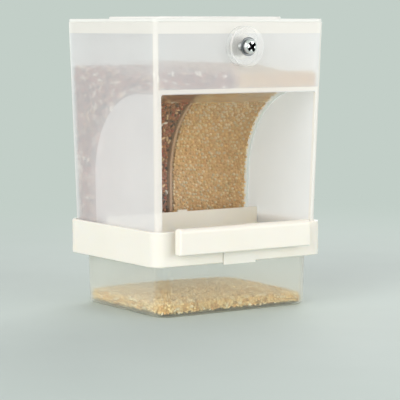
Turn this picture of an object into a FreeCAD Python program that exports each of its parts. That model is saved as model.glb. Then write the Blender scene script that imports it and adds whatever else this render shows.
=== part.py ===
import FreeCAD, Part
import math
import os
import Sketcher

# Automatic bird feeder, in millimetres. A frosted hopper with two seed chambers stands in a cream tray.
# Its curved chute wall is also the roof and back of the feeding cabin, and the seed runs down behind it
# into a trough at the back of the cabin. Husks fall past the trough into a clear catch box, which is what
# the feeder stands on. X runs along the front, the front faces -Y, and Z is up. The origin lies on the
# surface the feeder stands on, straight below the middle of the hopper.

SIZES = {
    # Hopper, measured outside at its rim
    "rim_height": 193.0,
    "hopper_width": 136.2,
    "hopper_depth": 111.0,
    "hopper_draft": 1.5,
    "hopper_wall": 2.2,
    "hopper_corner": 3.0,
    "least_corner": 0.5,
    "rim_rounding": 0.6,
    # Feeding cabin inside the hopper. A drop is a depth below the rim.
    "opening_stile": 4.4,
    "opening_drop": 47.0,
    "opening_corner": 1.5,
    "sill_height": 55.0,
    "roof_drop": 44.0,
    "chute_wall": 2.4,
    "chute_face": 26.5,
    "chute_foot": 55.0,
    "chute_straight": 32.0,
    # Plate between the two chambers, in a channel of guide ribs
    "divider_place": -2.0,
    "divider_thickness": 2.0,
    "divider_drop": 27.0,
    "divider_play": 0.15,
    "guide_wall": 1.0,
    "guide_depth": 2.0,
    # Feed tray: collar round the hopper's foot, deck under it and trough at the back
    "collar_bottom": 34.3,
    "collar_top": 57.6,
    "collar_wall": 2.2,
    "collar_gap": 1.4,
    "collar_corner": 7.5,
    "collar_rounding": 0.9,
    "deck_top": 44.0,
    "deck_thickness": 2.0,
    "upstand_height": 7.0,
    "upstand_wall": 1.5,
    "upstand_play": 0.4,
    "upstand_corner": 2.5,
    "trough_front": 12.0,
    "trough_wall": 1.8,
    "trough_top": 62.0,
    "tab_width": 7.6,
    "tab_rise": 1.2,
    "partition_wall": 2.0,
    "partition_gap": 1.0,
    "skirt_depth": 5.0,
    "skirt_wall": 1.6,
    "skirt_play": 0.4,
    # Catch box, measured outside at its floor
    "box_width": 120.4,
    "box_depth": 96.4,
    "box_shift": -1.8,
    "box_draft": 1.4,
    "box_wall": 1.8,
    "box_corner": 9.5,
    "box_rounding": 3.2,
    # Perch plugged into the front of the collar, in line with the divider
    "perch_place": -2.0,
    "perch_length": 105.2,
    "perch_thickness": 7.0,
    "perch_top": 60.0,
    "perch_bottom": 42.5,
    "perch_reach": 9.4,
    "perch_crown": 3.0,
    "perch_rounding": 1.0,
    "saddle_width": 25.4,
    "saddle_thickness": 1.2,
    "saddle_bottom": 33.3,
    "stem_rise": 1.0,
    "stem_height": 11.0,
    "peg_diameter": 4.0,
    "peg_spacing": 16.0,
    "peg_height": 50.0,
    "peg_play": 0.2,
    # Lid
    "lid_thickness": 2.0,
    "lid_corner": 4.0,
    "lid_rounding": 0.7,
    "panel_inset": 19.0,
    "panel_rise": 1.5,
    "panel_corner": 7.0,
    "lip_depth": 6.0,
    "lip_wall": 1.6,
    "lip_play": 0.4,
    "lip_corner": 3.0,
    "snap_width": 9.0,
    "snap_depth": 1.7,
    "snap_place": 22.0,
    # Clamp that grips a cage bar between two clear discs
    "clamp_drop": 16.0,
    "screw_diameter": 5.0,
    "screw_play": 0.25,
    "head_diameter": 9.6,
    "head_height": 3.6,
    "head_side": 1.6,
    "head_flat": 5.3,
    "head_crown": 3.2,
    "recess_width": 1.5,
    "recess_span": 5.4,
    "recess_depth": 2.3,
    "disc_diameter": 26.5,
    "disc_thickness": 2.0,
    "disc_edge": 0.4,
    "seat_gap": 0.1,
    "bar_gap": 3.4,
    "steel_diameter": 12.3,
    "steel_thickness": 1.0,
    "backing_diameter": 14.0,
    "backing_thickness": 1.2,
    "nut_across": 8.0,
    "nut_height": 4.7,
    "screw_tail": 2.5,
    "screw_point": 0.6,
    # Seed in the chambers and the trough, husks in the catch box
    "seed_gap": 0.35,
    "seed_back_drop": 30.0,
    "seed_front_drop": 32.5,
    "seed_dip_drop": 35.2,
    "dip_place": -30.0,
    "slope_end": 14.0,
    "trough_level": 51.5,
    "husk_top": 10.5,
    "husk_radius": 1200.0,
    "husk_shift_across": -8.0,
    "husk_shift_along": 6.0,
}

doc = FreeCAD.newDocument("bird_feeder")
sheet = doc.addObject("Spreadsheet::Sheet", "sizes")
finished = []


def fill_sheet():
    for row, (name, value) in enumerate(SIZES.items(), start=1):
        sheet.set(f"A{row}", name.replace("_", " "))
        sheet.set(f"B{row}", str(value))
        sheet.setAlias(f"B{row}", name)
    doc.recompute()


def number(expression):
    result = sheet.evalExpression(expression)
    return float(getattr(result, "Value", result))


# Expressions for sizes that follow from others

def hopper_size_at(size, height, inset):
    return f"({size} - 2 * (sizes.rim_height - {height}) * tan(sizes.hopper_draft) - 2 * ({inset}))"


def hopper_width_at(height, inset="0"):
    return hopper_size_at("sizes.hopper_width", height, inset)


def hopper_depth_at(height, inset="0"):
    return hopper_size_at("sizes.hopper_depth", height, inset)


def box_size_at(size, height, inset="0"):
    return f"({size} + 2 * {height} * tan(sizes.box_draft) - 2 * ({inset}))"


COLLAR_OUTSET = "-(sizes.collar_gap + sizes.collar_wall)"
COLLAR_WIDTH = hopper_width_at("sizes.collar_top", COLLAR_OUTSET)
COLLAR_DEPTH = hopper_depth_at("sizes.collar_top", COLLAR_OUTSET)
BOX_TOP = "(sizes.deck_top - sizes.deck_thickness)"
ROOF = "(sizes.rim_height - sizes.roof_drop)"
CHUTE_SPRING = "(sizes.chute_foot + sizes.chute_straight)"
CHUTE_RADIUS = f"({ROOF} - {CHUTE_SPRING})"
CHUTE_CENTRE = f"(sizes.chute_face - {CHUTE_RADIUS})"
OPENING_TOP = "(sizes.rim_height - sizes.opening_drop)"
DIVIDER_TOP = "(sizes.rim_height - sizes.divider_drop)"
CLAMP_HEIGHT = "(sizes.rim_height - sizes.clamp_drop)"
SEED_BACK = "(sizes.rim_height - sizes.seed_back_drop)"
SEED_FRONT = "(sizes.rim_height - sizes.seed_front_drop)"
SEED_DIP = "(sizes.rim_height - sizes.seed_dip_drop)"
UPSTAND_INSET = "(sizes.hopper_wall + sizes.upstand_play)"
UPSTAND_INNER = "(sizes.hopper_wall + sizes.upstand_play + sizes.upstand_wall)"
GUIDE_WIDTH = "(sizes.divider_thickness + 2 * sizes.divider_play + 2 * sizes.guide_wall)"
WALL_AT_CLAMP = f"(-{hopper_depth_at(CLAMP_HEIGHT)} / 2)"
BEYOND = "sizes.hopper_width"

# Heights of the clamp's pieces above the hopper's wall, along the screw
DISC_INNER = "sizes.seat_gap"
DISC_OUTER = "(sizes.seat_gap + sizes.disc_thickness + sizes.bar_gap)"
STEEL = f"({DISC_OUTER} + sizes.disc_thickness)"
HEAD = f"({STEEL} + sizes.steel_thickness)"
BACKING = "(-sizes.hopper_wall / cos(sizes.hopper_draft) - sizes.seat_gap - sizes.backing_thickness)"
NUT = f"({BACKING} - sizes.nut_height)"
SCREW_HOLE = "(sizes.screw_diameter + 2 * sizes.screw_play)"

# Two heights or lengths closer than this count as the same
NEAR = 0.01


# Sketches and features

def origin_plane(body, role):
    return next(feature for feature in body.Origin.OriginFeatures if feature.Role == role)


def new_body(name):
    return doc.addObject("PartDesign::Body", name)


def arc_through(start, end, radius, anticlockwise):
    chord = end - start
    middle = (start + end) * 0.5
    rise = math.sqrt(max(radius ** 2 - chord.Length ** 2 / 4, 0))
    side = FreeCAD.Vector(-chord.y, chord.x, 0).normalize() * rise
    centre = middle + side if anticlockwise else middle - side
    first, last = (start, end) if anticlockwise else (end, start)
    angles = [math.atan2(point.y - centre.y, point.x - centre.x) for point in (first, last)]
    circle = Part.Circle(centre, FreeCAD.Vector(0, 0, 1), radius)
    return Part.ArcOfCircle(circle, angles[0], angles[1])


def draw_loop(sketch, corners, arcs):
    """Adds a closed loop. Each corner is a pair of expressions, and arcs[i] = (radius, anticlockwise)
    bends the stretch that starts at corner i."""
    points = [FreeCAD.Vector(number(across), number(up), 0) for across, up in corners]
    count = len(points)
    first_edge = sketch.GeometryCount
    starts = []
    for index, start in enumerate(points):
        end = points[(index + 1) % count]
        if index in arcs:
            radius, anticlockwise = arcs[index]
            edge = sketch.addGeometry(arc_through(start, end, number(radius), anticlockwise))
            pin = sketch.addConstraint(Sketcher.Constraint("Radius", edge, number(radius)))
            sketch.setExpression(f"Constraints[{pin}]", radius)
            starts.append((1, 2) if anticlockwise else (2, 1))
        else:
            sketch.addGeometry(Part.LineSegment(start, end))
            starts.append((1, 2))
    for index, (across, up) in enumerate(corners):
        edge = first_edge + index
        following = (index + 1) % count
        join = ("Coincident", edge, starts[index][1], first_edge + following, starts[following][0])
        sketch.addConstraint(Sketcher.Constraint(*join))
        for kind, expression in (("DistanceX", across), ("DistanceY", up)):
            held = Sketcher.Constraint(kind, -1, 1, edge, starts[index][0], number(expression))
            pin = sketch.addConstraint(held)
            sketch.setExpression(f"Constraints[{pin}]", expression)


def new_sketch(body, name, plane, offset="0"):
    sketch = body.newObject("Sketcher::SketchObject", name)
    sketch.AttachmentSupport = [(origin_plane(body, plane), "")]
    sketch.MapMode = "FlatFace"
    sketch.setExpression("AttachmentOffset.Base.z", offset)
    return sketch


def outline(body, name, plane, corners, offset="0", arcs=None):
    sketch = new_sketch(body, name, plane, offset)
    draw_loop(sketch, corners, arcs or {})
    return sketch


def rectangle(width, depth, along="0", across="0"):
    """Corners of a rectangle, whose middle lies at (across, along)."""
    left, right = f"{across} - {width} / 2", f"{across} + {width} / 2"
    low, high = f"{along} - {depth} / 2", f"{along} + {depth} / 2"
    return [(left, low), (right, low), (right, high), (left, high)]


def rounded(width, depth, corner, along="0", across="0"):
    """Loop of a rectangle with round corners, as its corners and its arcs."""
    (left, low), _, (right, high), _ = rectangle(width, depth, along, across)
    corners = [
        (f"{left} + {corner}", low),
        (f"{right} - {corner}", low),
        (right, f"{low} + {corner}"),
        (right, f"{high} - {corner}"),
        (f"{right} - {corner}", high),
        (f"{left} + {corner}", high),
        (left, f"{high} - {corner}"),
        (left, f"{low} + {corner}"),
    ]
    return corners, {stretch: (corner, True) for stretch in (1, 3, 5, 7)}


def rounded_outline(body, name, loops, offset="0"):
    sketch = new_sketch(body, name, "XY_Plane", offset)
    for corners, arcs in loops:
        draw_loop(sketch, corners, arcs)
    return sketch


def circle_sketch(body, name, plane, diameter, across="0", up="0", offset="0"):
    sketch = new_sketch(body, name, plane, offset)
    centre = FreeCAD.Vector(number(across), number(up), 0)
    edge = sketch.addGeometry(Part.Circle(centre, FreeCAD.Vector(0, 0, 1), number(diameter) / 2))
    pin = sketch.addConstraint(Sketcher.Constraint("Diameter", edge, number(diameter)))
    sketch.setExpression(f"Constraints[{pin}]", diameter)
    for kind, expression in (("DistanceX", across), ("DistanceY", up)):
        pin = sketch.addConstraint(Sketcher.Constraint(kind, -1, 1, edge, 3, number(expression)))
        sketch.setExpression(f"Constraints[{pin}]", expression)
    return sketch


def extrude(body, kind, sketch, length, backwards=False, both_ways=False):
    feature = body.newObject(f"PartDesign::{kind}", f"{sketch.Name}_{kind.lower()}")
    feature.Profile = sketch
    feature.Reversed = backwards
    feature.Midplane = both_ways
    feature.setExpression("Length", length)
    doc.recompute()
    return feature


def pad(body, sketch, length, **options):
    return extrude(body, "Pad", sketch, length, **options)


def pocket(body, sketch, length, **options):
    before = body.Shape.Volume
    feature = extrude(body, "Pocket", sketch, length, **options)
    if body.Shape.Volume > before - NEAR:
        raise RuntimeError(f"{feature.Name} cuts nothing")
    return feature


def edges_where(shape, test):
    return [f"Edge{index}" for index, edge in enumerate(shape.Edges, start=1) if test(edge)]


def edge_span(edge):
    box = edge.BoundBox
    return FreeCAD.Vector(box.XLength, box.YLength, box.ZLength)


def round_edges(body, radius, test, name):
    base = body.Tip
    names = edges_where(base.Shape, test)
    if not names:
        raise RuntimeError(f"{body.Name} has no edges for {name}")
    fillet = body.newObject("PartDesign::Fillet", f"{body.Name}_{name}")
    fillet.Base = (base, names)
    fillet.setExpression("Radius", radius)
    doc.recompute()
    return fillet


def upright(edge):
    span = edge_span(edge)
    return span.z > 3 * max(span.x, span.y, NEAR)


def drafted_wedge(body, name, width, depth, low, high, draft, shift):
    """Block whose four flat sides lean outwards by the draft on their way up."""
    wedge = body.newObject("PartDesign::AdditiveWedge", name)
    wedge.AttachmentSupport = [(origin_plane(body, "XZ_Plane"), "")]
    wedge.MapMode = "FlatFace"
    spread = f"({high} - {low}) * tan({draft})"
    limits = {
        "Xmin": f"-({width}) / 2",
        "Xmax": f"{width} / 2",
        "X2min": f"-({width}) / 2 - {spread}",
        "X2max": f"{width} / 2 + {spread}",
        "Ymin": low,
        "Ymax": high,
        "Zmin": f"-({shift}) - {depth} / 2",
        "Zmax": f"-({shift}) + {depth} / 2",
        "Z2min": f"-({shift}) - {depth} / 2 - {spread}",
        "Z2max": f"-({shift}) + {depth} / 2 + {spread}",
    }
    for side, expression in limits.items():
        wedge.setExpression(side, expression)
    doc.recompute()


def lies_at(edge, height):
    box = edge.BoundBox
    return abs(box.ZMin - height) < NEAR and abs(box.ZMax - height) < NEAR


def block(name, width, depth, low, high, corner, draft=None, shift="0"):
    """Upright block with rounded corners. Its width and depth are those at the low end, and a draft
    widens it upwards."""
    body = new_body(name)
    if draft:
        drafted_wedge(body, f"{name}_wedge", width, depth, low, high, draft, shift)
    else:
        sketch = outline(body, f"{name}_outline", "XY_Plane", rectangle(width, depth, shift), low)
        pad(body, sketch, f"{high} - {low}")
    round_edges(body, corner, upright, "corners")
    return body


def hopper_block(name, inset, low, high):
    """Block with the hopper's drafted sides, all of them moved in by the inset."""
    width = hopper_width_at(low, inset)
    depth = hopper_depth_at(low, inset)
    corner = f"max(sizes.hopper_corner - ({inset}); sizes.least_corner)"
    return block(name, width, depth, low, high, corner, "sizes.hopper_draft")


def across_profile(name, corners, arcs, left, right):
    """Profile in the Y-Z plane, drawn out from X = left to X = right."""
    body = new_body(name)
    sketch = outline(body, f"{name}_outline", "YZ_Plane", corners, left, arcs)
    pad(body, sketch, f"{right} - ({left})")
    return body


def combine(kind, name, *shapes):
    result = doc.addObject(f"Part::{kind}", name)
    if kind == "Cut":
        result.Base, result.Tool = shapes
    else:
        result.Shapes = list(shapes)
    if kind == "MultiFuse":
        result.Refine = True
    doc.recompute()
    return result


def cylinder(name, diameter, length, place, turn_axis, turn):
    result = doc.addObject("Part::Cylinder", name)
    result.setExpression("Radius", f"{diameter} / 2")
    result.setExpression("Height", length)
    result.Placement = FreeCAD.Placement(FreeCAD.Vector(), FreeCAD.Rotation(turn_axis, 0))
    for letter, expression in zip("xyz", place):
        result.setExpression(f"Placement.Base.{letter}", expression)
    result.setExpression("Placement.Rotation.Angle", turn)
    return result


def finish(piece, label):
    piece.Label = label
    finished.append(piece)


# Hopper with its feeding cabin

def above_chute(name, left, right, gap, inset, low, tops):
    """The room above and behind the chute wall, between X = left and X = right. It keeps the gap from
    the chute and the inset from the hopper's outside, and tops closes it from the back to the front."""
    roof = f"{ROOF} + {gap}"
    face = f"sizes.chute_face + {gap}"
    corners = [
        (f"-{BEYOND}", roof),
        (CHUTE_CENTRE, roof),
        (face, CHUTE_SPRING),
        (face, low),
        (BEYOND, low),
        *tops,
    ]
    arcs = {1: (f"{CHUTE_RADIUS} + {gap}", False)}
    profile = across_profile(f"{name}_profile", corners, arcs, left, right)
    core = hopper_block(f"{name}_core", inset, "sizes.deck_top", "sizes.rim_height")
    return combine("MultiCommon", name, profile, core)


def level(height):
    return [(BEYOND, height), (f"-{BEYOND}", height)]


def build_chute():
    """Cabin roof that turns down in a quarter round and becomes the cabin's back wall."""
    inner_radius = f"({CHUTE_RADIUS} - sizes.chute_wall)"
    inner_roof = f"{ROOF} - sizes.chute_wall"
    inner_face = "sizes.chute_face - sizes.chute_wall"
    corners = [
        (f"-{BEYOND}", inner_roof),
        (CHUTE_CENTRE, inner_roof),
        (inner_face, CHUTE_SPRING),
        (inner_face, "sizes.chute_foot"),
        ("sizes.chute_face", "sizes.chute_foot"),
        ("sizes.chute_face", CHUTE_SPRING),
        (CHUTE_CENTRE, ROOF),
        (f"-{BEYOND}", ROOF),
    ]
    arcs = {1: (inner_radius, False), 5: (CHUTE_RADIUS, True)}
    profile = across_profile("chute_profile", corners, arcs, f"-{BEYOND} / 2", f"{BEYOND} / 2")
    limits = hopper_block("chute_limits", "sizes.hopper_wall / 2", "sizes.deck_top", "sizes.rim_height")
    return combine("MultiCommon", "chute", profile, limits)


def build_guides():
    """Channel of two ribs that runs round the divider's foot and up both walls."""
    left = f"sizes.divider_place - {GUIDE_WIDTH} / 2"
    right = f"sizes.divider_place + {GUIDE_WIDTH} / 2"
    slot_half = "(sizes.divider_thickness / 2 + sizes.divider_play)"
    rooted = above_chute("guide_roots", left, right, "(-sizes.chute_wall / 2)", "sizes.hopper_wall / 2",
                         "sizes.chute_foot", level(DIVIDER_TOP))
    middle = above_chute("guide_middle", left, right, "sizes.guide_depth",
                         "sizes.hopper_wall + sizes.guide_depth", "sizes.deck_top",
                         level("sizes.rim_height"))
    slot = above_chute("guide_slot", f"sizes.divider_place - {slot_half}",
                       f"sizes.divider_place + {slot_half}", "0", "sizes.hopper_wall",
                       "sizes.deck_top", level("sizes.rim_height"))
    return combine("Cut", "guides", combine("Cut", "guide_band", rooted, middle), slot)


def reaches_side(edge):
    """True on the rim's outer outline, also where it runs round a corner or joins one."""
    box = edge.BoundBox
    return max(abs(box.XMin), abs(box.XMax)) > SIZES["hopper_width"] / 2 - NEAR


def build_opening():
    """Cut for the cabin's mouth. Its sides keep one distance from the hopper's drafted sides."""
    body = new_body("opening")
    low = f"({hopper_width_at('sizes.sill_height')} / 2 - sizes.opening_stile)"
    high = f"({hopper_width_at(OPENING_TOP)} / 2 - sizes.opening_stile)"
    corners = [
        (f"-{low}", "sizes.sill_height"),
        (low, "sizes.sill_height"),
        (high, OPENING_TOP),
        (f"-{high}", OPENING_TOP),
    ]
    front = "sizes.hopper_depth / 2 + sizes.hopper_wall"
    sketch = outline(body, "opening_outline", "XZ_Plane", corners, front)
    pad(body, sketch, "3 * sizes.hopper_wall + sizes.rim_height * tan(sizes.hopper_draft)",
        backwards=True)
    round_edges(body, "sizes.opening_corner", lambda edge: edge_span(edge).y > 1, "corners")
    return body


def build_hopper():
    outside = hopper_block("hopper_outside", "0", "sizes.deck_top", "sizes.rim_height")
    inside = hopper_block("hopper_inside", "sizes.hopper_wall", "sizes.deck_top", "sizes.rim_height")
    walls = combine("Cut", "hopper_walls", outside, inside)
    joined = combine("MultiFuse", "hopper_joined", walls, build_chute(), build_guides())
    opened = combine("Cut", "hopper_opened", joined, build_opening())
    place = ("0", f"{WALL_AT_CLAMP} + 2 * sizes.hopper_wall", CLAMP_HEIGHT)
    hole = cylinder("clamp_hole", SCREW_HOLE, "4 * sizes.hopper_wall", place,
                    FreeCAD.Vector(1, 0, 0), "90 + sizes.hopper_draft")
    drilled = combine("Cut", "hopper_drilled", opened, hole)
    rounded = doc.addObject("Part::Fillet", "hopper_rounded")
    rounded.Base = drilled
    radius = SIZES["rim_rounding"]
    rounded.Edges = [
        (index, radius, radius)
        for index, edge in enumerate(drilled.Shape.Edges, start=1)
        if lies_at(edge, SIZES["rim_height"]) and reaches_side(edge)
    ]
    doc.recompute()
    finish(rounded, "hopper")


def build_divider():
    half = "sizes.divider_thickness / 2"
    left, right = f"sizes.divider_place - {half}", f"sizes.divider_place + {half}"
    plate = above_chute("divider_plate", left, right, "sizes.divider_play",
                        "sizes.hopper_wall + sizes.divider_play", "sizes.chute_foot",
                        level(DIVIDER_TOP))
    finish(plate, "hopper_divider")


# Feed tray

def ring(body, name, size, wall, corner, low, height, shift="0", backwards=False):
    width, depth = size
    outer = rounded(width, depth, corner, shift)
    inner = rounded(f"({width} - 2 * {wall})", f"({depth} - 2 * {wall})", f"({corner} - {wall})", shift)
    sketch = rounded_outline(body, name, (outer, inner), low)
    return pad(body, sketch, height, backwards=backwards)


def build_tray():
    body = block("feed_tray", COLLAR_WIDTH, COLLAR_DEPTH, "sizes.collar_bottom", "sizes.collar_top",
                 "sizes.collar_corner")
    low, high = SIZES["collar_bottom"], SIZES["collar_top"]
    round_edges(body, "sizes.collar_rounding",
                lambda edge: lies_at(edge, low) or lies_at(edge, high), "edges")
    hollow_width = f"({COLLAR_WIDTH} - 2 * sizes.collar_wall)"
    hollow_depth = f"({COLLAR_DEPTH} - 2 * sizes.collar_wall)"
    hollow = rounded(hollow_width, hollow_depth, "(sizes.collar_corner - sizes.collar_wall)")
    seat = rounded_outline(body, "seat_recess", [hollow], "sizes.collar_top")
    pocket(body, seat, "sizes.collar_top - sizes.deck_top")
    under = rounded_outline(body, "under_recess", [hollow], "sizes.collar_bottom")
    pocket(body, under, "sizes.deck_top - sizes.deck_thickness - sizes.collar_bottom", backwards=True)

    foot_width = hopper_width_at("sizes.deck_top", UPSTAND_INSET)
    foot_depth = hopper_depth_at("sizes.deck_top", UPSTAND_INSET)
    clear_width = hopper_width_at("sizes.deck_top", UPSTAND_INNER)
    clear_depth = hopper_depth_at("sizes.deck_top", UPSTAND_INNER)
    ring(body, "upstand", (foot_width, foot_depth), "sizes.upstand_wall", "sizes.upstand_corner",
         "sizes.deck_top", "sizes.upstand_height")

    trough_middle = "sizes.trough_front + sizes.trough_wall / 2"
    trough = outline(body, "trough_wall", "XY_Plane",
                     rectangle(foot_width, "sizes.trough_wall", trough_middle), "sizes.deck_top")
    pad(body, trough, "sizes.trough_top - sizes.deck_top")
    tab = outline(body, "trough_tab", "XY_Plane",
                  rectangle("sizes.tab_width", "sizes.trough_wall", trough_middle, "sizes.divider_place"),
                  "sizes.trough_top")
    pad(body, tab, "sizes.tab_rise")
    trough_end = "(sizes.trough_front + sizes.trough_wall)"
    partition_depth = f"({clear_depth} / 2 - {trough_end})"
    partition = outline(body, "partition", "XY_Plane",
                        rectangle("sizes.partition_wall", partition_depth,
                                  f"({trough_end} + {clear_depth} / 2) / 2", "sizes.divider_place"),
                        "sizes.deck_top")
    pad(body, partition, "sizes.chute_foot - sizes.partition_gap - sizes.deck_top")

    inside = f"sizes.box_wall + sizes.skirt_play"
    skirt_low = f"({BOX_TOP} - sizes.skirt_depth)"
    skirt_width = box_size_at("sizes.box_width", skirt_low, inside)
    skirt_depth = box_size_at("sizes.box_depth", skirt_low, inside)
    ring(body, "skirt", (skirt_width, skirt_depth), "sizes.skirt_wall",
         "(sizes.box_corner - sizes.box_wall)", BOX_TOP, "sizes.skirt_depth", "sizes.box_shift",
         backwards=True)

    drop_front = f"(sizes.box_shift - {skirt_depth} / 2 + sizes.skirt_wall)"
    drop_depth = f"(sizes.trough_front - {drop_front})"
    drop_width = f"min({clear_width}; {skirt_width} - 2 * sizes.skirt_wall)"
    drop = outline(body, "drop_opening", "XY_Plane",
                   rectangle(drop_width, drop_depth, f"({drop_front} + sizes.trough_front) / 2"),
                   "sizes.deck_top")
    pocket(body, drop, "sizes.deck_thickness")
    for side in ("-1", "1"):
        peg_hole = circle_sketch(body, f"peg_hole_{'left' if side == '-1' else 'right'}", "XZ_Plane",
                                 "(sizes.peg_diameter + 2 * sizes.peg_play)",
                                 f"sizes.perch_place + {side} * sizes.peg_spacing / 2",
                                 "sizes.peg_height", f"{COLLAR_DEPTH} / 2")
        pocket(body, peg_hole, "sizes.collar_wall + sizes.peg_play")
    finish(body, "feed_tray")


# Perch

def build_perch():
    body = new_body("perch")
    collar_face = f"(-{COLLAR_DEPTH} / 2)"
    front = f"({collar_face} - sizes.perch_reach)"
    middle = f"({front} + sizes.perch_thickness / 2)"
    height = "(sizes.perch_top - sizes.perch_bottom)"
    bar = outline(body, "perch_bar", "YZ_Plane",
                  rectangle("sizes.perch_thickness", height, "(sizes.perch_top + sizes.perch_bottom) / 2",
                            middle), "sizes.perch_place")
    pad(body, bar, "sizes.perch_length", both_ways=True)
    top, bottom = SIZES["perch_top"], SIZES["perch_bottom"]
    thickness = SIZES["perch_thickness"]
    round_edges(body, "sizes.perch_crown",
                lambda edge: lies_at(edge, top) and edge_span(edge).x > thickness, "crown")
    round_edges(body, "sizes.perch_rounding",
                lambda edge: edge_span(edge).x < thickness or lies_at(edge, bottom), "ends")
    stem_low = "(sizes.perch_bottom + sizes.stem_rise)"
    stem_depth = f"({collar_face} - {middle})"
    stem_middle = f"({collar_face} + {middle}) / 2"
    stem = outline(body, "perch_stem", "XY_Plane",
                   rectangle("sizes.saddle_width", stem_depth, stem_middle, "sizes.perch_place"),
                   stem_low)
    pad(body, stem, "sizes.stem_height")
    saddle_middle = f"({collar_face} - sizes.saddle_thickness / 2)"
    saddle = outline(body, "perch_saddle", "XY_Plane",
                     rectangle("sizes.saddle_width", "sizes.saddle_thickness", saddle_middle,
                               "sizes.perch_place"),
                     "sizes.saddle_bottom")
    pad(body, saddle, f"{stem_low} + sizes.stem_height - sizes.saddle_bottom")
    for side in ("-1", "1"):
        peg = circle_sketch(body, f"peg_{'left' if side == '-1' else 'right'}", "XZ_Plane",
                            "sizes.peg_diameter",
                            f"sizes.perch_place + {side} * sizes.peg_spacing / 2",
                            "sizes.peg_height", f"{COLLAR_DEPTH} / 2")
        pad(body, peg, "sizes.collar_wall", backwards=True)
    finish(body, "perch")


# Catch box

def box_core(name, inset, high):
    """Block with the catch box's drafted sides moved in by the inset, and as far above its floor."""
    low = f"({inset})"
    width = box_size_at("sizes.box_width", low, inset)
    depth = box_size_at("sizes.box_depth", low, inset)
    return block(name, width, depth, low, high, f"(sizes.box_corner - ({inset}))", "sizes.box_draft",
                 "sizes.box_shift")


def build_catch_box():
    outside = block("box_outside", "sizes.box_width", "sizes.box_depth", "0", BOX_TOP,
                    "sizes.box_corner", "sizes.box_draft", "sizes.box_shift")
    round_edges(outside, "sizes.box_rounding", lambda edge: lies_at(edge, 0), "foot")
    inside = box_core("box_inside", "sizes.box_wall", BOX_TOP)
    finish(combine("Cut", "box", outside, inside), "catch_box")


# Lid

def build_lid():
    body = block("lid", "sizes.hopper_width", "sizes.hopper_depth", "sizes.rim_height",
                 "(sizes.rim_height + sizes.lid_thickness)", "sizes.lid_corner")
    flange_top = "(sizes.rim_height + sizes.lid_thickness)"
    top = number(flange_top)
    round_edges(body, "sizes.lid_rounding", lambda edge: lies_at(edge, top), "edge")
    panel_width = "(sizes.hopper_width - 2 * sizes.panel_inset)"
    panel_depth = "(sizes.hopper_depth - 2 * sizes.panel_inset)"
    panel = rounded_outline(body, "panel", [rounded(panel_width, panel_depth, "sizes.panel_corner")],
                            flange_top)
    pad(body, panel, "sizes.panel_rise")
    panel_top = top + SIZES["panel_rise"]
    round_edges(body, "sizes.lid_rounding", lambda edge: lies_at(edge, panel_top), "panel_edge")
    hollow = rounded(f"({panel_width} - 2 * sizes.lid_thickness)",
                     f"({panel_depth} - 2 * sizes.lid_thickness)",
                     "(sizes.panel_corner - sizes.lid_thickness)")
    recess = rounded_outline(body, "panel_recess", [hollow], "sizes.rim_height")
    pocket(body, recess, "sizes.panel_rise", backwards=True)
    inset = "sizes.hopper_wall + sizes.lip_play"
    lip_low = "(sizes.rim_height - sizes.lip_depth)"
    lip = (hopper_width_at(lip_low, inset), hopper_depth_at(lip_low, inset))
    ring(body, "lip", lip, "sizes.lip_wall", "sizes.lip_corner", "sizes.rim_height", "sizes.lip_depth",
         backwards=True)
    for side in ("-1", "1"):
        place = f"{side} * ({lip[0]} - sizes.lip_wall) / 2"
        snap = outline(body, f"snap_{'left' if side == '-1' else 'right'}", "XY_Plane",
                       rectangle("sizes.lip_wall", "sizes.snap_width", "sizes.snap_place", place), lip_low)
        pad(body, snap, "sizes.snap_depth", backwards=True)
    finish(body, "lid")


# Clamp: each piece is made along +Z and then turned so that +Z points out of the hopper's front wall

def set_on_wall(body):
    body.Placement = FreeCAD.Placement(FreeCAD.Vector(), FreeCAD.Rotation(FreeCAD.Vector(1, 0, 0), 90))
    body.setExpression("Placement.Base.y", WALL_AT_CLAMP)
    body.setExpression("Placement.Base.z", CLAMP_HEIGHT)
    body.setExpression("Placement.Rotation.Angle", "90 + sizes.hopper_draft")
    doc.recompute()


def build_washer(label, diameter, thickness, seat, edge):
    """Flat ring turned about the screw's axis, with its rims broken by a small chamfer."""
    body = new_body(label)
    outer, hole = f"{diameter} / 2", f"{SCREW_HOLE} / 2"
    corners = [
        (hole, seat),
        (f"{outer} - {edge}", seat),
        (outer, f"{seat} + {edge}"),
        (outer, f"{seat} + {thickness} - {edge}"),
        (f"{outer} - {edge}", f"{seat} + {thickness}"),
        (hole, f"{seat} + {thickness}"),
    ]
    sketch = outline(body, f"{label}_section", "XZ_Plane", corners)
    turned = body.newObject("PartDesign::Revolution", f"{label}_turned")
    turned.Profile = sketch
    turned.ReferenceAxis = (sketch, ["V_Axis"])
    turned.Angle = 360
    set_on_wall(body)
    finish(body, label)


def build_nut():
    body = new_body("clamp_nut")
    corner = "sizes.nut_across / 2 / cos(30)"
    flat = "sizes.nut_across / 2"
    half = f"{corner} / 2"
    corners = [(corner, "0"), (half, flat), (f"-{half}", flat), (f"-{corner}", "0"),
               (f"-{half}", f"-{flat}"), (half, f"-{flat}")]
    sketch = outline(body, "nut_outline", "XY_Plane", corners, NUT)
    pad(body, sketch, "sizes.nut_height")
    bore = circle_sketch(body, "nut_bore", "XY_Plane", SCREW_HOLE, offset=NUT)
    pocket(body, bore, "sizes.nut_height", backwards=True)
    set_on_wall(body)
    finish(body, "clamp_nut")


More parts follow.
